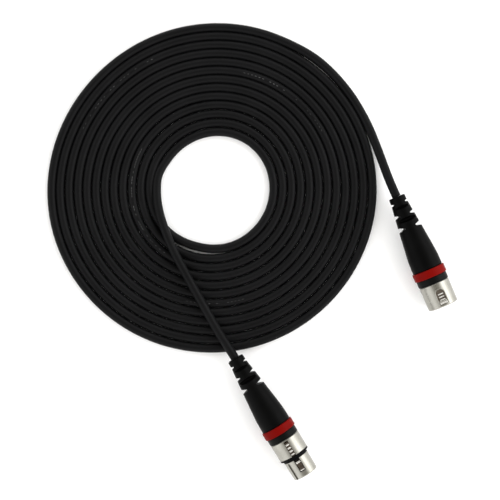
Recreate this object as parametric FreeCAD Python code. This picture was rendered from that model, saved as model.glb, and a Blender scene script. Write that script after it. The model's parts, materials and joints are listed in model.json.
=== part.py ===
"""A microphone cable wound into a flat spiral, with an XLR plug on each end.

Millimetres. The origin is the centre of the coil, on the surface that it lies on, with +Z up.
Each plug is drawn along its own +X, from the cable side to the mating face, with its latch side
up, and is then laid beside the coil. Lengths along a plug are counted from its strain relief's
free end. The spiral is one plain ring here; the loose ends of the cable are tubes.
"""
import FreeCAD, Part
import math
import os
from FreeCAD import Vector

# Cable and coil
CORD_D = 5.5
CORD_R = CORD_D / 2
COIL_INNER_R = 33.4
COIL_OUTER_R = 103.2
COIL_EDGE_R = 1.8
CROSSING_Z = CORD_D + CORD_R + 0.1          # centre line of the loose end that lies on the coil
BEND_SHARE = 0.45                           # share of the shorter run that a bend uses

# Where the plugs lie: the free end of the strain relief, and the heading from +X
RING_R = 10.35                              # the colour ring is what a plug rests on
MALE_START = Vector(113.2, -5.2, RING_R)
MALE_HEADING = -66.7
FEMALE_START = Vector(13.3, -105.1, RING_R)
FEMALE_HEADING = -58.5

# Routes of the two loose ends, from the plug to the coil
MALE_ROUTE = [
    MALE_START,
    Vector(109.6, 2.8, 10.0),
    Vector(105.9, 13.4, 7.4),
    Vector(101.5, 26.4, 4.1),
    Vector(95.4, 41.9, CORD_R),
    Vector(84.1, 61.1, CORD_R),
    Vector(67.5, 79.1, CORD_R),
    Vector(50.0, 89.6, CORD_R),
]
FEMALE_ROUTE = [
    FEMALE_START,
    Vector(8.9, -98.1, 9.8),
    Vector(2.9, -89.2, 8.4),
    Vector(-7.4, -70.9, CROSSING_Z),
    Vector(-17.7, -52.3, CROSSING_Z),
    Vector(-25.9, -36.9, CROSSING_Z),
    Vector(-31.1, -24.0, CROSSING_Z - 0.2),
    Vector(-34.8, -12.0, 6.0),
    Vector(-36.0, -0.2, 3.5),
    Vector(-35.1, 9.2, CORD_R),
]

# Strain relief and boot; the notches are given as centre and width at the root
RELIEF_START_R = 5.2
RELIEF_RIB_END = 4.0
BOOT_START = 21.0
BOOT_START_R = 7.3
SIDE_NOTCHES = [(4.2, 0.5), (12.0, 0.6), (20.2, 0.8)]
TOP_NOTCHES = [(7.0, 0.9), (15.1, 1.3)]
NOTCH_ROOT_R = 3.4
NOTCH_ROUND = 0.2
NOTCH_LEAN = 0.3                            # how far each wall leans out for its height
BOOT_SHOULDER = 40.5
BOOT_SHOULDER_R = 9.45
BOOT_END = 48.5
BOOT_END_R = 9.6
BOOT_POCKET = 38.0                          # start of the pocket over the bushing
SLIP = 0.1                                  # radial gap between nested pieces of a plug

# Bushing, colour ring and clamp
BUSH_START = 38.2
BUSH_R = 7.5
BUSH_BORE_R = 6.2
RING_START = 48.7
RING_END = 53.7
COLLAR_END = 57.9
COLLAR_R = 9.7
SPIGOT_START = 55.1
SPIGOT_R = 8.0
SPIGOT_BORE_R = 6.7
CLAMP_START = 40.0
CLAMP_END = 54.9
CLAMP_R = 6.1
CLAMP_SLOT = 0.8
JACKET_END = 50.0                           # where the jacket is stripped back

# Contacts: two across and one below
CONTACT_R = 3.81
CUP_START = 55.6
WIRE_D = 1.2
WIRE_LAY_R = 1.4                            # how far out the wires leave the jacket

# Shells
SHELL_START = 57.95
CHAMFER = 0.45
SEAT = 58.6                                 # shoulder that the inserts sit on

# Male plug
MALE_R = 9.5
MALE_END = 73.2
CAVITY_R = 8.15
MALE_INSERT_END = 60.2
PIN_R = 1.18
PIN_SHOULDER_R = 1.5                        # the thicker part that the insulator holds
PIN_END = 72.2
PANEL_START = 61.6
PANEL_END = 72.6
PANEL_HALF = 3.25
PANEL_RIM = 0.5
PANEL_RIM_R = 9.85
PANEL_FLOOR = 9.0
BAR_STARTS = [64.7, 66.5, 68.3]
BAR = (0.9, 3.4, 0.4)                       # length, width, height

# Female plug
FEMALE_R = 9.6
STEP = 69.4
SLEEVE_START = 59.1
SLEEVE_R = 7.8
NOSE_START = 71.8
NOSE_END = 83.7
NOSE_R = 8.05
NOSE_BORE_R = 7.0
FEMALE_INSERT_END = 83.0
SOCKET_END = 82.0
SOCKET_R = 1.7
SOCKET_BORE_R = 1.2
SOCKET_DEPTH = 14.0
KEY_W = 1.9
KEY_DEPTH = 0.75
KEY_ANGLE = 45.0

# Latch of the female plug
TAB_SLOT_HALF = 1.45
TAB_SLOT_START = 58.95
TAB_HALF = 1.15
TAB_START = 60.3
TAB_END = 69.1
TAB_TOP = 8.9
TAB_RIBS = [60.9, 63.1, 65.3, 67.5]
TAB_RIB = (1.1, 0.45)                       # length, height
ARM_HALF = 1.5
ARM_BOTTOM = 5.6
ARM_TOP = 6.7
ARM_PAD = (72.9, 76.8, 7.7)                 # start, end, height
HOOK = (78.3, 79.9, 8.4)                    # start, end, height
WINDOW_HALF = 1.95
WINDOW_END = 80.2
GROOVE_FLOOR = 3.9
PIVOT_S = 60.6
PIVOT_H = 5.9
PIVOT_R = 0.5
PIVOT_GAP = 0.05
PIVOT_HALF = 2.6
SPRING_T = 0.2


def tangent_arc(before, corner, after, radius):
    """Start, middle and end of the arc that rounds a corner."""
    back = (before - corner).normalize()
    ahead = (after - corner).normalize()
    half = back.getAngle(ahead) / 2
    reach = radius / math.tan(half)
    inward = (back + ahead).normalize()
    middle = corner + inward * (radius / math.sin(half) - radius)
    return corner + back * reach, middle, corner + ahead * reach


def wire_through(points, radii, closed):
    """Straight runs through the points, with a tangent arc wherever a radius is given."""
    count = len(points)
    bends = []
    for i, (point, radius) in enumerate(zip(points, radii)):
        if radius:
            bends.append(tangent_arc(points[i - 1], point, points[(i + 1) % count], radius))
        else:
            bends.append((point, point, point))
    edges = []
    for i, (start, middle, end) in enumerate(bends):
        if radii[i]:
            edges.append(Part.Arc(start, middle, end).toShape())
        if closed or i + 1 < count:
            edges.append(Part.LineSegment(end, bends[(i + 1) % count][0]).toShape())
    return Part.Wire(edges)


def split_corners(corners):
    """Separate (a, b) or (a, b, radius) corners into pairs and radii."""
    return [c[:2] for c in corners], [c[2] if len(c) > 2 else 0 for c in corners]


def lathe(corners, axis=Vector(1, 0, 0)):
    """Solid of revolution: corners are (distance along the axis, radius, optional rounding)."""
    pairs, radii = split_corners(corners)
    if axis.x:
        points = [Vector(along, out, 0) for along, out in pairs]
    else:
        points = [Vector(out, 0, along) for along, out in pairs]
    return Part.Face(wire_through(points, radii, True)).revolve(Vector(), axis, 360)


def side_plate(corners, half_width):
    """Plate cut from a side view: corners are (length, height, optional rounding)."""
    pairs, radii = split_corners(corners)
    points = [Vector(along, -half_width, up) for along, up in pairs]
    return Part.Face(wire_through(points, radii, True)).extrude(Vector(0, 2 * half_width, 0))


def block(start, end, half_width, bottom, top):
    """Block centred on the plug's middle plane."""
    return Part.makeBox(end - start, 2 * half_width, top - bottom, Vector(start, -half_width, bottom))


def rod(start, end, radius, across=0.0, up=0.0):
    """Round bar along the plug."""
    return Part.makeCylinder(radius, end - start, Vector(start, across, up), Vector(1, 0, 0))


def cross_pin(radius, half_length, along, up):
    """Round bar across the plug."""
    start = Vector(along, -half_length, up)
    return Part.makeCylinder(radius, 2 * half_length, start, Vector(0, 1, 0))


def tube_along(points, diameter):
    """Round tube along straight runs with tangent arcs; returns it with its bend radii."""
    radii = [0]
    for before, corner, after in zip(points, points[1:], points[2:]):
        shorter = min((corner - before).Length, (after - corner).Length)
        turn = (corner - before).getAngle(after - corner)
        radii.append(BEND_SHARE * shorter / math.tan(turn / 2))
    radii.append(0)
    path = wire_through(points, radii, False)
    heading = points[1] - points[0]
    section = Part.Wire(Part.Circle(points[0], heading, diameter / 2).toShape())
    tube = path.makePipeShell([section], True, False)
    return tube, radii[1:-1], path.Length


def cord(name, points):
    """Loose stretch of the cable, with its bends and its volume printed."""
    tube, radii, length = tube_along(points, CORD_D)
    expected = math.pi * CORD_R ** 2 * length
    print(name, "length %.1f" % length, "radii", [round(r) for r in radii],
          "volume / section x length %.4f" % (tube.Volume / expected), "valid", tube.isValid())
    return tube


def coil():
    """Closed solid of the flat spiral's outer shape."""
    return lathe([
        (0, COIL_INNER_R, COIL_EDGE_R),
        (0, COIL_OUTER_R, COIL_EDGE_R),
        (CORD_D, COIL_OUTER_R, COIL_EDGE_R),
        (CORD_D, COIL_INNER_R, COIL_EDGE_R),
    ], Vector(0, 0, 1))


def notch(centre, width):
    """Cutters for two notches that face each other across +Y and -Y, flaring out from a round root."""
    reach = 2 * BOOT_END_R
    mouth = width / 2 + (reach - NOTCH_ROOT_R) * NOTCH_LEAN
    cutters = []
    for side in (1, -1):
        points = [
            Vector(centre - width / 2, side * NOTCH_ROOT_R, -reach),
            Vector(centre - mouth, side * reach, -reach),
            Vector(centre + mouth, side * reach, -reach),
            Vector(centre + width / 2, side * NOTCH_ROOT_R, -reach),
        ]
        face = Part.Face(wire_through(points, [NOTCH_ROUND, 0, 0, NOTCH_ROUND], True))
        cutters.append(face.extrude(Vector(0, 0, 2 * reach)))
    return cutters


def boot():
    """Notched strain relief and tapered boot, moulded in one."""
    body = lathe([
        (0.0, CORD_R + SLIP),
        (0.0, RELIEF_START_R, 0.9),
        (RELIEF_RIB_END, RELIEF_START_R, 20.0),
        (BOOT_START, BOOT_START_R, 30.0),
        (BOOT_SHOULDER, BOOT_SHOULDER_R, 60.0),
        (BOOT_END, BOOT_END_R, 0.4),
        (BOOT_END, BUSH_R + SLIP),
        (BOOT_POCKET, BUSH_R + SLIP),
        (BOOT_POCKET, CORD_R + SLIP),
    ])
    cutters = [cutter for centre, width in SIDE_NOTCHES for cutter in notch(centre, width)]
    for centre, width in TOP_NOTCHES:
        for cutter in notch(centre, width):
            cutter.rotate(Vector(), Vector(1, 0, 0), 90)
            cutters.append(cutter)
    for cutter in cutters:
        body = body.cut(cutter)
    return body


def colour_ring():
    return lathe([
        (RING_START, BUSH_R + SLIP),
        (RING_START, RING_R, 0.5),
        (RING_END, RING_R, 0.5),
        (RING_END, BUSH_R + SLIP),
    ])


def collar():
    """Bushing: a sleeve under the boot and ring, and the collar that screws onto the shell."""
    face = RING_END + 0.05
    return lathe([
        (BUSH_START, BUSH_BORE_R),
        (BUSH_START, BUSH_R, 0.3),
        (face, BUSH_R),
        (face, COLLAR_R, 0.4),
        (COLLAR_END, COLLAR_R, 0.3),
        (COLLAR_END, SPIGOT_R + SLIP),
        (SPIGOT_START - SLIP, SPIGOT_R + SLIP),
        (SPIGOT_START - SLIP, BUSH_BORE_R),
    ])


def clamp():
    """Slotted collet that grips the jacket."""
    mouth = JACKET_END + 0.2
    body = lathe([
        (CLAMP_START, CORD_R + SLIP),
        (CLAMP_START, 4.4, 0.5),
        (CLAMP_START + 5.0, CLAMP_R, 2.0),
        (CLAMP_END, CLAMP_R),
        (CLAMP_END, CLAMP_R - 1.1),
        (mouth, CLAMP_R - 1.1),
        (mouth, CORD_R + SLIP),
    ])
    flat = block(CLAMP_START - 1, CLAMP_START + 7.5, CLAMP_SLOT / 2, -CLAMP_R - 1, CLAMP_R + 1)
    upright = flat.copy()
    upright.rotate(Vector(), Vector(1, 0, 0), 90)
    return body.cut(flat).cut(upright)


def contact_places(mirror):
    """Across and up of contacts 1, 2 and 3; the male plug's are mirrored."""
    return [(CONTACT_R * mirror, 0.0), (-CONTACT_R * mirror, 0.0), (0.0, -CONTACT_R)]


def wire_to(across, up):
    """Insulated wire from the stripped jacket to a solder cup."""
    share = WIRE_LAY_R / CONTACT_R
    points = [
        Vector(JACKET_END, across * share, up * share),
        Vector(JACKET_END + 1.4, across * share, up * share),
        Vector(CUP_START - 1.4, across, up),
        Vector(CUP_START, across, up),
    ]
    return tube_along(points, WIRE_D)[0]


def cable_side(mirror):
    """Pieces that both plugs have between the cable and the shell."""
    pieces = {
        "boot": boot(),
        "colour_ring": colour_ring(),
        "collar": collar(),
        "cable_clamp": clamp(),
        "cable_end": rod(0.0, JACKET_END, CORD_R),
    }
    for number, (across, up) in enumerate(contact_places(mirror), 1):
        pieces["wire_%d" % number] = wire_to(across, up)
    return pieces


def arch(start, end, half_width, bottom, top):
    """Upright prism with a round end towards the cable."""
    centre = start + half_width
    rounded = Part.Arc(Vector(centre, half_width, bottom), Vector(start, 0, bottom),
                       Vector(centre, -half_width, bottom)).toShape()
    corners = [
        Vector(centre, -half_width, bottom),
        Vector(end, -half_width, bottom),
        Vector(end, half_width, bottom),
        Vector(centre, half_width, bottom),
    ]
    sides = [Part.LineSegment(a, b).toShape() for a, b in zip(corners, corners[1:])]
    return Part.Face(Part.Wire([rounded] + sides)).extrude(Vector(0, 0, top - bottom))


def key_block(start, end, inner, outer, width, angle):
    """Block along the plug, turned about its axis from the top towards +Y."""
    piece = block(start, end, width / 2, inner, outer)
    piece.rotate(Vector(), Vector(1, 0, 0), -angle)
    return piece


def male_shell():
    """Nickel barrel round the three pins, with an arched panel on its latch side."""
    barrel = lathe([
        (SPIGOT_START, SPIGOT_BORE_R),
        (SPIGOT_START, SPIGOT_R),
        (SHELL_START, SPIGOT_R),
        (SHELL_START, MALE_R - CHAMFER),
        (SHELL_START + CHAMFER, MALE_R, 0.3),
        (MALE_END - CHAMFER, MALE_R, 0.3),
        (MALE_END, MALE_R - CHAMFER),
        (MALE_END, CAVITY_R + 0.25),
        (MALE_END - 0.3, CAVITY_R),
        (SEAT, CAVITY_R),
        (SEAT, SPIGOT_BORE_R),
    ])
    band = rod(PANEL_START, PANEL_END, PANEL_RIM_R)
    panel = arch(PANEL_START, PANEL_END, PANEL_HALF, CAVITY_R + 0.5, PANEL_RIM_R + 1)
    inside = arch(PANEL_START + PANEL_RIM, PANEL_END - 2 * PANEL_RIM, PANEL_HALF - PANEL_RIM,
                  PANEL_FLOOR, PANEL_RIM_R + 1)
    shell = barrel.fuse(panel.common(band)).cut(inside)
    length, width, height = BAR
    for start in BAR_STARTS:
        shell = shell.fuse(block(start, start + length, width / 2, PANEL_FLOOR - 0.2, PANEL_FLOOR + height))
    ramp = side_plate([
        (PANEL_END - 3.3, PANEL_FLOOR - 0.2),
        (PANEL_END - 3.3, PANEL_FLOOR + 0.1),
        (PANEL_END - 2.7, PANEL_FLOOR + 0.55),
        (PANEL_END - 1.6, PANEL_FLOOR + 0.55),
        (PANEL_END - 1.4, PANEL_FLOOR - 0.2),
    ], PANEL_HALF - PANEL_RIM - 0.25)
    shell = shell.fuse(ramp)
    key = key_block(MALE_INSERT_END + 0.2, MALE_END - 1.0, CAVITY_R - 0.6, CAVITY_R + 0.3,
                    KEY_W - 0.4, KEY_ANGLE)
    catch = block(64.5, 67.5, 2.1, CAVITY_R - 0.6, CAVITY_R + 0.35)
    return shell.fuse(key).cut(catch).removeSplitter()


def male_insert():
    """Insulator that holds the pins."""
    disc = lathe([
        (57.0, 0),
        (57.0, SPIGOT_BORE_R - SLIP, 0.3),
        (SEAT + 0.05, SPIGOT_BORE_R - SLIP),
        (SEAT + 0.05, CAVITY_R - 0.05),
        (MALE_INSERT_END, CAVITY_R - 0.05, 0.3),
        (MALE_INSERT_END, 0),
    ])
    for across, up in contact_places(-1):
        disc = disc.cut(rod(56.0, MALE_INSERT_END + 1, PIN_SHOULDER_R + 0.03, across, up))
    return disc


def male_pin(across, up):
    """Contact pin with a rounded tip, thicker inside the insulator and flush with its face."""
    pin = lathe([
        (CUP_START, 0),
        (CUP_START, PIN_SHOULDER_R),
        (MALE_INSERT_END, PIN_SHOULDER_R),
        (MALE_INSERT_END, PIN_R),
        (PIN_END, PIN_R, 0.8),
        (PIN_END, 0),
    ])
    pin.translate(Vector(0, across, up))
    return pin


def ground_tab():
    """Strip from contact 1 of the male plug to the shell."""
    across, up = contact_places(-1)[0]
    start = 56.2
    end = 56.6
    eye = rod(start, end, 1.9, across, up)
    strip = Part.makeBox(end - start, SPIGOT_BORE_R - SLIP - CONTACT_R, 1.6,
                         Vector(start, -(SPIGOT_BORE_R - SLIP), up - 0.8))
    return eye.fuse(strip).cut(rod(start - 1, end + 1, PIN_SHOULDER_R + 0.02, across, up)).removeSplitter()


def male_plug():
    pieces = cable_side(-1)
    pieces["shell"] = male_shell()
    pieces["insert"] = male_insert()
    pieces["ground_tab"] = ground_tab()
    for number, (across, up) in enumerate(contact_places(-1), 1):
        pieces["pin_%d" % number] = male_pin(across, up)
    return pieces


def female_shell():
    """Rear nickel barrel with the slot for the latch's tab."""
    barrel = lathe([
        (SPIGOT_START, SPIGOT_BORE_R),
        (SPIGOT_START, SPIGOT_R),
        (SHELL_START, SPIGOT_R),
        (SHELL_START, FEMALE_R - CHAMFER),
        (SHELL_START + CHAMFER, FEMALE_R, 0.3),
        (STEP - CHAMFER, FEMALE_R, 0.3),
        (STEP, FEMALE_R - CHAMFER),
        (STEP, SLEEVE_R + SLIP),
        (SEAT + 0.3, SLEEVE_R + SLIP),
        (SEAT + 0.3, SPIGOT_BORE_R),
    ])
    return barrel.cut(block(TAB_SLOT_START, STEP + 1, TAB_SLOT_HALF, SPIGOT_BORE_R, FEMALE_R + 1))


def female_nose():
    """Nickel sleeve that goes into the mating socket, with the latch window and the key groove."""
    sleeve = lathe([
        (SLEEVE_START, NOSE_BORE_R),
        (SLEEVE_START, SLEEVE_R),
        (NOSE_START, SLEEVE_R),
        (NOSE_START, NOSE_R, 0.15),
        (NOSE_END, NOSE_R, 0.65),
        (NOSE_END, NOSE_BORE_R + 0.3),
        (NOSE_END - 0.3, NOSE_BORE_R),
    ])
    window = block(SLEEVE_START - 1, WINDOW_END, WINDOW_HALF, NOSE_BORE_R - 1.5, NOSE_R + 1)
    groove = key_block(NOSE_START + 0.6, NOSE_END + 1, NOSE_R - KEY_DEPTH, NOSE_R + 1, KEY_W, -KEY_ANGLE)
    return sleeve.cut(window).cut(groove)


def female_gasket():
    """Black ring at the step, with a bridge over the latch's arm."""
    ring = lathe([
        (STEP + 0.05, SLEEVE_R + 0.05),
        (STEP + 0.05, FEMALE_R - 0.05, 0.2),
        (STEP + 0.85, FEMALE_R - 0.05, 0.2),
        (STEP + 0.85, NOSE_R + 0.05),
        (NOSE_START - 0.05, NOSE_R + 0.05, 0.1),
        (NOSE_START - 0.05, SLEEVE_R + 0.05),
    ])
    bridge = block(STEP + 0.1, NOSE_START + 0.6, WINDOW_HALF - 0.05, ARM_TOP + 0.8, NOSE_R + 0.2)
    return ring.fuse(bridge).removeSplitter()


def female_insert():
    """Insulator that holds the contact sockets, grooved for the latch's arm."""
    body = lathe([
        (57.0, 0),
        (57.0, SPIGOT_BORE_R - SLIP, 0.3),
        (SLEEVE_START, SPIGOT_BORE_R - SLIP),
        (SLEEVE_START, NOSE_BORE_R - 0.05),
        (FEMALE_INSERT_END, NOSE_BORE_R - 0.05, 0.3),
        (FEMALE_INSERT_END, 0),
    ])
    body = body.cut(block(SLEEVE_START - 0.2, WINDOW_END + 0.4, WINDOW_HALF, GROOVE_FLOOR, NOSE_R))
    body = body.cut(cross_pin(PIVOT_R, PIVOT_HALF, PIVOT_S, PIVOT_H))
    for across, up in contact_places(1):
        body = body.cut(rod(56.0, SOCKET_END, SOCKET_R + 0.03, across, up))
        body = body.cut(rod(SOCKET_END - 1, FEMALE_INSERT_END + 1, SOCKET_BORE_R + 0.2, across, up))
    return body


def female_socket(across, up):
    """Contact tube, bored from the front."""
    socket = lathe([
        (CUP_START, 0),
        (CUP_START, SOCKET_R),
        (SOCKET_END, SOCKET_R),
        (SOCKET_END, SOCKET_BORE_R),
        (SOCKET_END - SOCKET_DEPTH, SOCKET_BORE_R),
        (SOCKET_END - SOCKET_DEPTH, 0),
    ])
    socket.translate(Vector(0, across, up))
    return socket


def latch():
    """Lever with the ribbed tab, the arm and the hook, on its pivot's eye."""
    pad_start, pad_end, pad_top = ARM_PAD
    hook_start, hook_end, hook_top = HOOK
    arm = side_plate([
        (PIVOT_S, ARM_BOTTOM),
        (hook_end, ARM_BOTTOM, 0.3),
        (hook_end, ARM_TOP + 0.3, 0.2),
        (hook_start + 0.6, hook_top, 0.2),
        (hook_start, hook_top, 0.1),
        (hook_start, ARM_TOP, 0.2),
        (pad_end, ARM_TOP, 0.2),
        (pad_end - 0.3, pad_top, 0.2),
        (pad_start + 0.4, pad_top, 0.3),
        (pad_start, ARM_TOP, 0.3),
        (PIVOT_S, ARM_TOP),
    ], ARM_HALF)
    length, height = TAB_RIB
    tab = block(TAB_START, TAB_END, TAB_HALF, ARM_TOP - 0.3, TAB_TOP - height)
    for start in TAB_RIBS:
        rib = side_plate([
            (start, TAB_TOP - height - 0.1),
            (start + 0.2, TAB_TOP, 0.15),
            (start + length - 0.2, TAB_TOP, 0.15),
            (start + length, TAB_TOP - height - 0.1),
        ], TAB_HALF)
        tab = tab.fuse(rib)
    eye = cross_pin(PIVOT_R + 0.55, ARM_HALF, PIVOT_S, PIVOT_H)
    hole = cross_pin(PIVOT_R + PIVOT_GAP, ARM_HALF + 1, PIVOT_S, PIVOT_H)
    return arm.fuse(tab).fuse(eye).cut(hole).removeSplitter()


def latch_spring():
    """Leaf spring between the groove's floor and the latch's arm."""
    base = GROOVE_FLOOR + 0.02
    tip = ARM_BOTTOM - 0.05
    return side_plate([
        (62.5, base),
        (66.5, base, 1.0),
        (71.6, tip - SPRING_T),
        (71.5, tip),
        (66.4, base + SPRING_T, 1.0),
        (62.5, base + SPRING_T),
    ], 0.9)


def female_plug():
    pieces = cable_side(1)
    pieces["shell"] = female_shell()
    pieces["nose"] = female_nose()
    pieces["gasket"] = female_gasket()
    pieces["insert"] = female_insert()
    pieces["latch"] = latch()
    pieces["latch_pin"] = cross_pin(PIVOT_R, PIVOT_HALF, PIVOT_S, PIVOT_H)
    pieces["latch_spring"] = latch_spring()
    for number, (across, up) in enumerate(contact_places(1), 1):
        pieces["socket_%d" % number] = female_socket(across, up)
    return pieces


def laid(pieces, start, heading):
    """Turn a plug's pieces to their heading and lay them at their place."""
    for piece in pieces.values():
        piece.rotate(Vector(), Vector(0, 0, 1), heading)
        piece.translate(start)
    return pieces


def build():
    """Every piece by its node name."""
    nodes = {
        "cable_coil": coil(),
        "cable_tail_male": cord("cable_tail_male", MALE_ROUTE),
        "cable_tail_female": cord("cable_tail_female", FEMALE_ROUTE),
    }
    for name, piece in laid(male_plug(), MALE_START, MALE_HEADING).items():
        nodes["male_" + name] = piece
    for name, piece in laid(female_plug(), FEMALE_START, FEMALE_HEADING).items():
        nodes["female_" + name] = piece
    return nodes


os.makedirs("parts", exist_ok=True)
for node, shape in build().items():
    if not shape.isValid() or len(shape.Solids) != 1:
        print("check", node, "valid", shape.isValid(), "solids", len(shape.Solids))
    shape.exportStep("parts/%s.step" % node)
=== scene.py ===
"""The looks of a coiled microphone cable with an XLR plug on each end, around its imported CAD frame.

Everything is in the frame's own coordinates: the origin is the centre of the coil on the surface that
it lies on, with +Z up. Sizes and places are in millimetres where no comment says metres, and MM turns
them into Blender's metres. Lengths along a plug are counted from its strain relief's free end.
"""
import json
import math
import random

import bmesh
import bpy
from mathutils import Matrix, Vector


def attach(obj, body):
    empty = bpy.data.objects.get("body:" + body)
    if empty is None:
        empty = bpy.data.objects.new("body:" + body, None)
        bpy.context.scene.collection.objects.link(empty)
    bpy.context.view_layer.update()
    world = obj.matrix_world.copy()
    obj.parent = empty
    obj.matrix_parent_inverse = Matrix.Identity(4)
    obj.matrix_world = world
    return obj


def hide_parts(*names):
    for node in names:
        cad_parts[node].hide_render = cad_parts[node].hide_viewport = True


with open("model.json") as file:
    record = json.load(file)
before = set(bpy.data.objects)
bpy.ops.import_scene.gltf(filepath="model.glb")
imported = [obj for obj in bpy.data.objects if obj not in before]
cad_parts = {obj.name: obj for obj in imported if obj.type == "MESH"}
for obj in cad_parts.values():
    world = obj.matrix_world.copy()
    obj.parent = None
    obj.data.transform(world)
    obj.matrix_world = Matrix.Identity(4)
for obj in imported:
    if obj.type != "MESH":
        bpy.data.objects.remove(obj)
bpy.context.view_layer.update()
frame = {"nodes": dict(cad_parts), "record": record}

MM = 0.001
NODES = frame["nodes"]
BODY = "cable_and_plugs"

# Camera: straight above, moved from the coil's centre towards the plugs
CAMERA_PLACE = (22.5, -38.125, 800.0)
CAMERA_LENS = 91.86
CAMERA_SENSOR = 36.0
CAMERA_REACH = 20.0             # metres

# Light: the sky's brightness by the sine of the elevation, its gain from the left to the right, and
# one softbox, whose place and size are in metres and whose power is in watts
SKY = [(0.0, (1.0, 1.0, 1.0)), (0.66, (1.0, 1.0, 1.0)), (0.93, (0.20, 0.19, 0.17))]
SKY_SIDES = [(0.25, (0.76, 0.76, 0.76)), (0.75, (1.0, 1.0, 1.0))]
SKY_STRENGTH = 2.5
SOFTBOX_PLACE = (1.5, 0.25, 0.95)
SOFTBOX_TARGET = (0, 0, 0)
SOFTBOX_SIZE = (1.6, 1.0)
SOFTBOX_POWER = 8.0

# Floor
FLOOR_SIZE = 6.0                # metres
FLOOR_DROP = 0.2                # below the surface that the coil lies on

# Finish of the surfaces
MOULDED_EDGE = 0.35             # how round the edges of moulded pieces look
MOULDED_RELIEF = 0.1            # depth of the grain
PLATED_RELIEF = 0.04
EDGE_SAMPLES = 8
GRAIN_DETAIL = 5.0

# Noises in the finish: how many patches to a metre, roughly, and how much detail
MOULDED_DRIFT = (45.0, 4.0)
MOULDED_GLOSS = (260.0, 3.0)
PLATED_TONE = (160.0, 4.0)
PLATED_GLOSS = (900.0, 4.0)
PLATED_MARKS = (3500.0, 3.0)
FLOOR_DRIFT = (3.0, 2.0)

# Cable
CORD_R = 2.75
CORD_D = 2 * CORD_R
CURVE_RESOLUTION = 8            # as Blender counts it, along a curve and around its tube

# Printed marks on the jacket: radius, first and last degree of each
LEGEND = [(53.0, 150, 235), (72.5, 250, 285), (75.0, 28, 78), (89.0, 115, 160)]
LEGEND_BAND = 2.7               # to either side of each radius
LEGEND_LIFT = 0.02
DASH_LENGTH = 1.1
DASH_WIDTH = 0.32
DASH_REACH = (0.35, 0.5)        # each way from the dash's middle, in dash lengths
DASH_SPACING = 1.5              # from dash to dash, in dash lengths
DASHES_LEFT_OUT = 0.25          # share of them
DASH_SEED = 7

# Plugs: place of the strain relief's free end, and heading in degrees. They lie on their colour rings
RING_R = 10.35
PLUGS = {"male": ((113.2, -5.2, RING_R), -66.7), "female": ((13.3, -105.1, RING_R), -58.5)}

# Arched panel of the male plug: the flat sheet painted dark as shade over its floor, then one side of
# its rim and the rim's top, each as length along the plug, distance across it and height above its
# axis
RECESS_HALF_WIDTH = 2.7
RECESS_START = 62.1
RECESS_END = 71.7
RECESS_UP = 9.03
ARCH_STEPS = 12
RIM_SIDE = [(72.3, 2.98, 9.28), (70.0, 2.98, 9.28), (64.9, 2.98, 9.28), (62.4, 2.6, 9.4)]
RIM_TOP = (61.85, 0.0, 9.72)
RIM_R = 0.24

# Ribs across a plug: where they lie along it, then their half width, height above the plug's axis
# and radius
PANEL_BARS_AT = (65.15, 66.95, 68.75)
PANEL_BAR = (1.65, 9.2, 0.34)
PANEL_RAMP_AT = 70.9
PANEL_RAMP = (2.4, 9.1, 0.68)
TAB_RIBS_AT = (61.45, 63.65, 65.85, 68.05)
TAB_RIB = (1.12, 8.6, 0.55)
LATCH_PAD_AT = 74.0
LATCH_PAD = (1.42, 7.1, 0.85)
LATCH_HOOK_AT = 79.2
LATCH_HOOK = (1.42, 8.05, 0.36)

# Loose ends, from each plug to the coil. Only the female one crosses over the coil's turns
CROSSING_GAP = 0.1              # between the loose end and the turns under it
CROSSING_Z = CORD_D + CORD_R + CROSSING_GAP
FEMALE_ROUTE = [
    PLUGS["female"][0],
    (8.9, -98.1, 9.8),
    (2.9, -89.2, 8.4),
    (-7.4, -70.9, CROSSING_Z),
    (-17.7, -52.3, CROSSING_Z),
    (-25.9, -36.9, CROSSING_Z),
    (-31.1, -24.0, CROSSING_Z - 0.2),
    (-34.8, -12.0, 6.0),
    (-36.0, -0.2, 3.5),
    (-35.1, 9.2, CORD_R),
]
MALE_ROUTE = [
    PLUGS["male"][0],
    (109.6, 2.8, 10.0),
    (105.9, 13.4, 7.4),
    (101.5, 26.4, 4.1),
    (95.4, 41.9, CORD_R),
    (84.1, 61.1, CORD_R),
    (67.5, 79.1, CORD_R),
    (50.0, 89.6, CORD_R),
]

# Flat spiral: it starts on the coil's -X side and runs clockwise, seen from above
FIRST_R = 34.55
PITCH = 5.55
LEANING_TURNS = 12              # over which the inner lean gives way to the outer one
POINTS_A_TURN = 24
FIRST_POINT = 2                 # counted in control points from the -X side
LAST_POINT = 295
TIGHTEST, LOOSEST = 5.36, 5.61  # from each turn to the next
HULL = (6 + 2 * math.cos(2 * math.pi / POINTS_A_TURN)) / 8     # spline radius over control radius

# How the spiral leans: parts with the sine and the cosine of the angle, then of twice the angle
INNER_LEAN = (1.29, 0.13, 0.42, 0.07)
OUTER_LEAN = (-1.90, 0.07, 0.86, 0.63)
HOLE_LEAN = (-0.93, -0.50, 0.0, 0.0)
HOLE_SWELL = 0.14
HOLE_FADE = 0.9                 # turns in which the lean round the hole falls to about a third

# Dips in its radius: turns from the -X side, height in millimetres and width in turns
EARLY_DIP = (0.17, -1.18, 0.13)  # it comes again on each turn, half as deep each time
GAP_DIP = (0.80, -1.15, 0.06)    # leaves a thin gap by the hole
END_DIP = (12.2, -1.0, 0.25)


# ---------------------------------------------------------------- the cable's line

def lean(angle, sine, cosine, double_sine, double_cosine):
    """How far the coil leans out at an angle."""
    return (sine * math.sin(angle) + cosine * math.cos(angle)
            + double_sine * math.sin(2 * angle) + double_cosine * math.cos(2 * angle))


def swell(turns, middle, height, width):
    """A smooth change of radius round one place on the spiral."""
    return height * math.exp(-((turns - middle) / width) ** 2)


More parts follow.
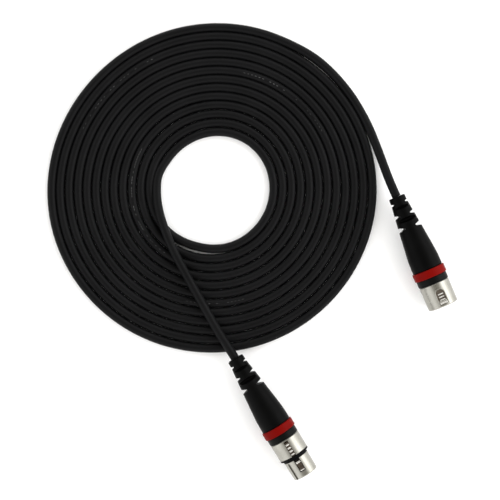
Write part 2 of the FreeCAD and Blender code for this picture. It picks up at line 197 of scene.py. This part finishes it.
def coil_radius(turns, angle):
    """Radius of the cable's centre line: an even pitch that leans as the real coil does."""
    outward = min(turns / LEANING_TURNS, 1)
    near_hole = math.exp(-turns / HOLE_FADE) * (HOLE_SWELL + lean(angle, *HOLE_LEAN))
    middle, height, width = EARLY_DIP
    nearest = round(turns - middle)
    early_dip = swell(turns - nearest, middle, height * 0.5 ** nearest, width)
    return (FIRST_R + PITCH * turns
            + (1 - outward) * lean(angle, *INNER_LEAN) + outward * lean(angle, *OUTER_LEAN)
            + near_hole + early_dip + swell(turns, *END_DIP))


def coil_points():
    """Control points of the spiral, each turn lying against the one inside it."""
    radii, points = [], []
    for step in range(LAST_POINT + 1):
        turns = step / POINTS_A_TURN
        angle = math.pi - 2 * math.pi * turns
        radius = coil_radius(turns, angle)
        if step >= POINTS_A_TURN:
            inner = radii[step - POINTS_A_TURN]
            radius = inner + min(max(radius - inner, TIGHTEST), LOOSEST)
        radii.append(radius)
        out = (radius + swell(turns, *GAP_DIP)) / HULL
        if step >= FIRST_POINT:
            points.append((out * math.cos(angle), out * math.sin(angle), CORD_R))
    return points


def cable_curve(name, points, radius):
    """Round tube along one smooth spline through the points."""
    data = bpy.data.curves.new(name, "CURVE")
    data.dimensions = "3D"
    spline = data.splines.new("NURBS")
    spline.points.add(len(points) - 1)
    for control, point in zip(spline.points, points):
        control.co = (*(Vector(point) * MM), 1.0)
    spline.order_u = 3
    spline.use_endpoint_u = True
    spline.resolution_u = CURVE_RESOLUTION
    data.bevel_depth = radius * MM
    data.bevel_resolution = CURVE_RESOLUTION
    data.use_fill_caps = True
    piece = bpy.data.objects.new(name, data)
    bpy.context.scene.collection.objects.link(piece)
    return piece


def curve_line(piece):
    """Points of the curve's own line, read from its spline with no bevel."""
    bare = piece.data.copy()
    bare.bevel_depth = 0
    twin = bpy.data.objects.new("line", bare)
    bpy.context.scene.collection.objects.link(twin)
    bpy.context.view_layer.update()
    mesh = bpy.data.meshes.new_from_object(twin.evaluated_get(bpy.context.evaluated_depsgraph_get()))
    line = [vertex.co.copy() for vertex in mesh.vertices]
    bpy.data.objects.remove(twin)
    bpy.data.curves.remove(bare)
    bpy.data.meshes.remove(mesh)
    return line


# ---------------------------------------------------------------- materials

def blank(name):
    """New material, with its nodes, its links and its shader."""
    material = bpy.data.materials.new(name)
    material.use_nodes = True
    nodes = material.node_tree.nodes
    return material, nodes, material.node_tree.links, nodes["Principled BSDF"]


def noise(nodes, links, scale, detail):
    """Procedural noise in the piece's own coordinates."""
    place = nodes.new("ShaderNodeTexCoord")
    texture = nodes.new("ShaderNodeTexNoise")
    texture.inputs["Scale"].default_value = scale
    texture.inputs["Detail"].default_value = detail
    links.new(place.outputs["Object"], texture.inputs["Vector"])
    return texture.outputs["Fac"]


def ramp(nodes, links, fac, stops):
    """Colour ramp of (position, colour) stops."""
    made = nodes.new("ShaderNodeValToRGB")
    elements = made.color_ramp.elements
    while len(elements) < len(stops):
        elements.new(0.5)
    for element, (position, colour) in zip(elements, stops):
        element.position = position
        element.color = (*colour, 1)
    links.new(fac, made.inputs["Fac"])
    return made.outputs["Color"]


def vary(nodes, links, socket, pattern, stops):
    """Let a noise of (scale, detail) drive a socket through a ramp."""
    links.new(ramp(nodes, links, noise(nodes, links, *pattern), stops), socket)


def surface(nodes, links, shader, height, strength, distance, edge=0.0):
    """Fine relief on the shader, over edges that look rounded to the given radius."""
    made = nodes.new("ShaderNodeBump")
    made.inputs["Strength"].default_value = strength
    made.inputs["Distance"].default_value = distance * MM
    links.new(height, made.inputs["Height"])
    if edge:
        rounded = nodes.new("ShaderNodeBevel")
        rounded.samples = EDGE_SAMPLES
        rounded.inputs["Radius"].default_value = edge * MM
        links.new(rounded.outputs["Normal"], made.inputs["Normal"])
    links.new(made.outputs["Normal"], shader.inputs["Normal"])


def grey(value):
    """A colour with no hue."""
    return (value, value, value)


def moulded(name, dark, light, rough_low, rough_high, grain, grain_strength, specular=0.5):
    """Rubber or plastic: slow colour drift, patchy gloss and a fine moulded grain."""
    material, nodes, links, shader = blank(name)
    vary(nodes, links, shader.inputs["Base Color"], MOULDED_DRIFT, [(0.35, dark), (0.65, light)])
    vary(nodes, links, shader.inputs["Roughness"], MOULDED_GLOSS,
         [(0.3, grey(rough_low)), (0.7, grey(rough_high))])
    shader.inputs["Specular IOR Level"].default_value = specular
    surface(nodes, links, shader, noise(nodes, links, grain, GRAIN_DETAIL), grain_strength,
            MOULDED_RELIEF, MOULDED_EDGE)
    return material


def plated(name, dark, light, rough_low, rough_high, grain_strength=0.05):
    """Satin plating, faintly mottled, with fine polishing marks."""
    material, nodes, links, shader = blank(name)
    shader.inputs["Metallic"].default_value = 1.0
    vary(nodes, links, shader.inputs["Base Color"], PLATED_TONE, [(0.3, dark), (0.7, light)])
    vary(nodes, links, shader.inputs["Roughness"], PLATED_GLOSS,
         [(0.3, grey(rough_low)), (0.7, grey(rough_high))])
    surface(nodes, links, shader, noise(nodes, links, *PLATED_MARKS), grain_strength, PLATED_RELIEF)
    return material


def make_materials():
    """Every material, by name. The numbers are in the order in which moulded and plated take them."""
    return {
        "jacket": moulded("jacket", (0.0029, 0.0029, 0.0031), (0.0040, 0.0040, 0.0043),
                          0.42, 0.52, 2600.0, 0.08, 0.07),
        "boot": moulded("boot", (0.0009, 0.0009, 0.0009), (0.0014, 0.0014, 0.0014),
                        0.40, 0.50, 3000.0, 0.10, 0.04),
        "colour_ring": moulded("colour_ring", (0.128, 0.0018, 0.0010), (0.146, 0.0024, 0.0014),
                               0.36, 0.46, 1800.0, 0.04, 0.03),
        "collar": moulded("collar", (0.0018, 0.0020, 0.0019), (0.0026, 0.0028, 0.0027),
                          0.36, 0.46, 2200.0, 0.05, 0.06),
        "insulator": moulded("insulator", grey(0.0035), grey(0.0050), 0.35, 0.45, 1800.0, 0.04, 0.15),
        "gasket": moulded("gasket", grey(0.0012), grey(0.0018), 0.45, 0.55, 2500.0, 0.08, 0.05),
        "clamp": moulded("clamp", (0.52, 0.52, 0.50), (0.62, 0.62, 0.60), 0.4, 0.5, 1500.0, 0.05),
        "wire_shield": moulded("wire_shield", (0.03, 0.22, 0.07), (0.05, 0.3, 0.1),
                               0.3, 0.4, 1500.0, 0.03),
        "wire_hot": moulded("wire_hot", (0.4, 0.015, 0.015), (0.5, 0.02, 0.02),
                            0.3, 0.4, 1500.0, 0.03),
        "wire_cold": moulded("wire_cold", (0.7, 0.7, 0.68), (0.8, 0.8, 0.78),
                             0.3, 0.4, 1500.0, 0.03),
        "nickel": plated("nickel", (0.29, 0.282, 0.25), (0.33, 0.322, 0.29), 0.26, 0.34),
        "latch_metal": plated("latch_metal", (0.13, 0.105, 0.085), (0.18, 0.15, 0.125), 0.22, 0.30),
        # painted highlight: a lighter, glossier copy of the nickel for the panel's bars and ramp and
        # the latch's ribs, pad and hook
        "nickel_painted_highlight": plated("nickel_painted_highlight", (0.60, 0.585, 0.55), (0.68, 0.665, 0.63), 0.14, 0.22),
        # painted shade: a darker copy of the nickel, laid as a flat sheet over the arched panel's
        # floor
        "painted_recess_shade": plated("painted_recess_shade", (0.13, 0.11, 0.09), (0.18, 0.155, 0.13), 0.30, 0.40),
        "contact": plated("contact", (0.76, 0.58, 0.26), (0.86, 0.68, 0.34), 0.16, 0.24),
        "legend": moulded("legend", grey(0.030), grey(0.090), 0.5, 0.6, 900.0, 0.02, 0.05),
        "spring_steel": plated("spring_steel", grey(0.52), grey(0.62), 0.22, 0.32),
    }


def dress_nodes(materials):
    """Give every CAD node the material that the record names for it."""
    for part in frame["record"]["subparts"]:
        node = NODES[part["node"]]
        node.data.materials.clear()
        node.data.materials.append(materials[part["material_slot"]])


# ---------------------------------------------------------------- stage

def make_floor():
    """Pale floor, just below the coil."""
    bpy.ops.mesh.primitive_plane_add(size=FLOOR_SIZE, location=(0, 0, -FLOOR_DROP * MM))
    floor = bpy.context.object
    floor.name = "floor"
    material, nodes, links, shader = blank("floor")
    vary(nodes, links, shader.inputs["Base Color"], FLOOR_DRIFT,
         [(0.3, grey(0.95)), (0.7, grey(0.97))])
    shader.inputs["Roughness"].default_value = 0.9
    floor.data.materials.append(material)


def make_world():
    """Bright all round and dark straight above, where a copy stand's camera and hood would be."""
    world = bpy.data.worlds.new("studio")
    world.use_nodes = True
    nodes, links = world.node_tree.nodes, world.node_tree.links
    place = nodes.new("ShaderNodeTexCoord")
    split = nodes.new("ShaderNodeSeparateXYZ")
    links.new(place.outputs["Generated"], split.inputs["Vector"])
    sky = ramp(nodes, links, split.outputs["Z"], SKY)
    centred = nodes.new("ShaderNodeMath")
    centred.operation = "MULTIPLY_ADD"
    centred.inputs[1].default_value = 0.5
    centred.inputs[2].default_value = 0.5
    links.new(split.outputs["X"], centred.inputs[0])
    sides = ramp(nodes, links, centred.outputs["Value"], SKY_SIDES)
    both = nodes.new("ShaderNodeMix")
    both.data_type = "RGBA"
    both.blend_type = "MULTIPLY"
    both.inputs["Factor"].default_value = 1.0
    links.new(sky, both.inputs["A"])
    links.new(sides, both.inputs["B"])
    links.new(both.outputs["Result"], nodes["Background"].inputs["Color"])
    nodes["Background"].inputs["Strength"].default_value = SKY_STRENGTH
    bpy.context.scene.world = world


def make_softbox():
    """One soft light, from the right."""
    data = bpy.data.lights.new("right_softbox", "AREA")
    data.shape = "RECTANGLE"
    data.size, data.size_y = SOFTBOX_SIZE
    data.energy = SOFTBOX_POWER
    lamp = bpy.data.objects.new("right_softbox", data)
    lamp.location = SOFTBOX_PLACE
    aim = Vector(SOFTBOX_TARGET) - Vector(SOFTBOX_PLACE)
    lamp.rotation_euler = aim.to_track_quat("-Z", "Y").to_euler()
    bpy.context.scene.collection.objects.link(lamp)


def make_camera():
    """Camera that looks straight down."""
    data = bpy.data.cameras.new("camera")
    data.lens = CAMERA_LENS
    data.sensor_width = CAMERA_SENSOR
    data.clip_end = CAMERA_REACH
    camera = bpy.data.objects.new("camera", data)
    camera.location = Vector(CAMERA_PLACE) * MM
    bpy.context.scene.collection.objects.link(camera)
    bpy.context.scene.camera = camera


# ---------------------------------------------------------------- building

def on_plug(plug, along, across, up):
    """A point given in a plug's own directions, in the frame's."""
    place, heading = PLUGS[plug]
    turn = math.radians(heading)
    return (place[0] + along * math.cos(turn) - across * math.sin(turn),
            place[1] + along * math.sin(turn) + across * math.cos(turn), place[2] + up)


def add_mesh(name, mesh_name, shape, material):
    """Turn a finished bmesh into a piece that rides on the cable and plugs."""
    mesh = bpy.data.meshes.new(mesh_name)
    shape.to_mesh(mesh)
    shape.free()
    piece = bpy.data.objects.new(name, mesh)
    bpy.context.scene.collection.objects.link(piece)
    mesh.materials.append(material)
    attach(piece, BODY)


def bead(name, plug, points, radius, material, body):
    """Rounded rib that catches the light, through points in the plug's own directions."""
    piece = cable_curve(name, [on_plug(plug, *point) for point in points], radius)
    piece.data.materials.append(material)
    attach(piece, body)


def cross_bead(name, plug, along, size, material, body):
    """Straight rib across a plug."""
    half_width, up, radius = size
    bead(name, plug, [(along, -half_width, up), (along, 0, up), (along, half_width, up)],
         radius, material, body)


def make_painted_recess_shade(material):
    """Flat sheet over the floor of the male plug's arched panel, coloured dark as painted shade for
    the recess.
    """
    half = RECESS_HALF_WIDTH
    arch = RECESS_START + half
    outline = [(RECESS_END, -half), (arch, -half)]
    for step in range(1, ARCH_STEPS):
        turn = math.pi * step / ARCH_STEPS
        outline.append((arch - half * math.sin(turn), -half * math.cos(turn)))
    outline += [(arch, half), (RECESS_END, half)]
    shape = bmesh.new()
    face = shape.faces.new([shape.verts.new(Vector(on_plug("male", along, across, RECESS_UP)) * MM)
                            for along, across in outline])
    if face.normal.z < 0:
        face.normal_flip()
    add_mesh("panel_recess_painted_shade", "panel_recess_painted_shade", shape, material)


def make_panel(nickel, nickel_painted_highlight):
    """Raised rim, bars and ramp of the male plug's panel; the bars and ramp are in a lighter copy of
    the nickel, as painted highlight.
    """
    other_side = [(along, -across, up) for along, across, up in RIM_SIDE]
    bead("panel_rim", "male", other_side + [RIM_TOP] + RIM_SIDE[::-1], RIM_R, nickel, BODY)
    for number, along in enumerate(PANEL_BARS_AT, 1):
        cross_bead("panel_bar_%d" % number, "male", along, PANEL_BAR, nickel_painted_highlight, BODY)
    cross_bead("panel_ramp", "male", PANEL_RAMP_AT, PANEL_RAMP, nickel_painted_highlight, BODY)


def make_latch_detail(nickel_painted_highlight):
    """Ribs, pad and hook of the female plug's latch, which move with it, in a lighter copy of the
    nickel as painted highlight.
    """
    for number, along in enumerate(TAB_RIBS_AT, 1):
        cross_bead("tab_rib_%d" % number, "female", along, TAB_RIB, nickel_painted_highlight, "latch")
    cross_bead("latch_pad", "female", LATCH_PAD_AT, LATCH_PAD, nickel_painted_highlight, "latch")
    cross_bead("latch_hook", "female", LATCH_HOOK_AT, LATCH_HOOK, nickel_painted_highlight, "latch")


def is_marked(place):
    """Whether the jacket has print at a place on the cable's line, in metres."""
    radius = place.xy.length / MM
    angle = math.degrees(math.atan2(place.y, place.x)) % 360
    lying = place.z <= CORD_D * MM
    return lying and any(abs(radius - middle) < LEGEND_BAND and low <= angle <= high
                         for middle, low, high in LEGEND)


def make_legend(line, material):
    """Plain dashes in place of the jacket's print, laid along the cable's own line."""
    dash_length = DASH_LENGTH * MM
    dash_width = DASH_WIDTH * MM
    to_top = CORD_R * MM + LEGEND_LIFT * MM
    draw = random.Random(DASH_SEED)
    shape = bmesh.new()
    travelled = 0.0
    for start, end in zip(line, line[1:]):
        travelled += (end - start).length
        if travelled < DASH_SPACING * dash_length or not is_marked(start):
            continue
        travelled = 0.0
        if draw.random() < DASHES_LEFT_OUT:
            continue
        ahead = (end - start).normalized()
        side = Vector((-ahead.y, ahead.x, 0)) * dash_width / 2
        middle = start + Vector((0, 0, to_top))
        reach = ahead * dash_length * draw.uniform(*DASH_REACH)
        corners = [middle - reach - side, middle + reach - side, middle + reach + side,
                   middle - reach + side]
        shape.faces.new([shape.verts.new(corner) for corner in corners])
    add_mesh("cable_legend", "legend", shape, material)


def make_cable(material):
    """The whole cable as one cord, in place of the CAD model's ring and two loose ends."""
    points = FEMALE_ROUTE + coil_points() + MALE_ROUTE[::-1]
    cable = cable_curve("cable", points, CORD_R)
    cable.data.materials.append(material)
    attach(cable, BODY)
    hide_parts("cable_coil", "cable_tail_male", "cable_tail_female")
    return cable


make_camera()
make_floor()
make_world()
make_softbox()
bpy.context.scene.view_settings.view_transform = "Standard"
materials = make_materials()
dress_nodes(materials)
cable = make_cable(materials["jacket"])
make_legend(curve_line(cable), materials["legend"])
# flat sheet over the panel's floor, coloured dark as painted shade
make_painted_recess_shade(materials["painted_recess_shade"])
# bars, ramp, ribs, pad and hook carry the lighter copy of the nickel as painted highlight
make_panel(materials["nickel"], materials["nickel_painted_highlight"])
make_latch_detail(materials["nickel_painted_highlight"])
